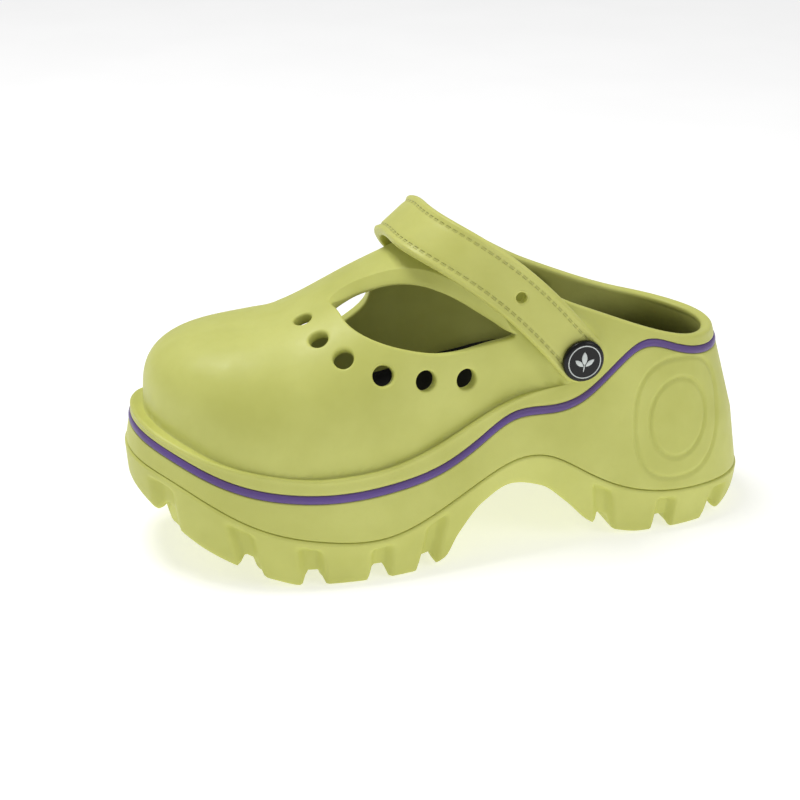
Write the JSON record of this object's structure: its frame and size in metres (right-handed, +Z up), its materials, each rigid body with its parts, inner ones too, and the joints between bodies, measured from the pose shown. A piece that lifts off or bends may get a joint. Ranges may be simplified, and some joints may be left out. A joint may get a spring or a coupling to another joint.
{
  "type": "garden clog",
  "caption": "Chunky closed-toe foam clog with platform lug sole, side window, vent holes, accent stripe and a swinging heel strap on round rivets",
  "frame": {"origin": "on the ground under the middle of the shoe's length and width", "axes": "+X from toe to heel, +Y to the wearer's inner side, +Z up"},
  "size_m": [0.2714, 0.1157, 0.1422],
  "materials": {
    "shell_foam": "matte moulded foam",
    "sole_foam": "matte moulded foam",
    "tread_foam": "matte moulded foam, slightly rougher",
    "strap_foam": "matte moulded foam",
    "stripe": "satin",
    "insole": "matte",
    "rivet": "glossy black",
    "badge": "pale grey print"
  },
  "bodies": {
    "shoe": {"upper": "shell_foam", "midsole": "sole_foam", "outsole": "tread_foam", "accent_stripe": "stripe", "insole": "insole", "outer_rivet": "rivet", "outer_rivet_socket": "rivet", "outer_badge_ring": "badge", "outer_badge_leaf": "badge", "inner_rivet": "rivet", "inner_rivet_socket": "rivet", "inner_badge_ring": "badge", "inner_badge_leaf": "badge"},
    "strap": {"heel_strap": "strap_foam"}
  },
  "joints": [
    {"name": "strap_swing", "type": "hinge", "parent": "shoe", "child": "strap", "pos_m": [0.0436, 0, 0.082], "axis": [0, 1, 0], "range_deg": [0, 118]}
  ]
}
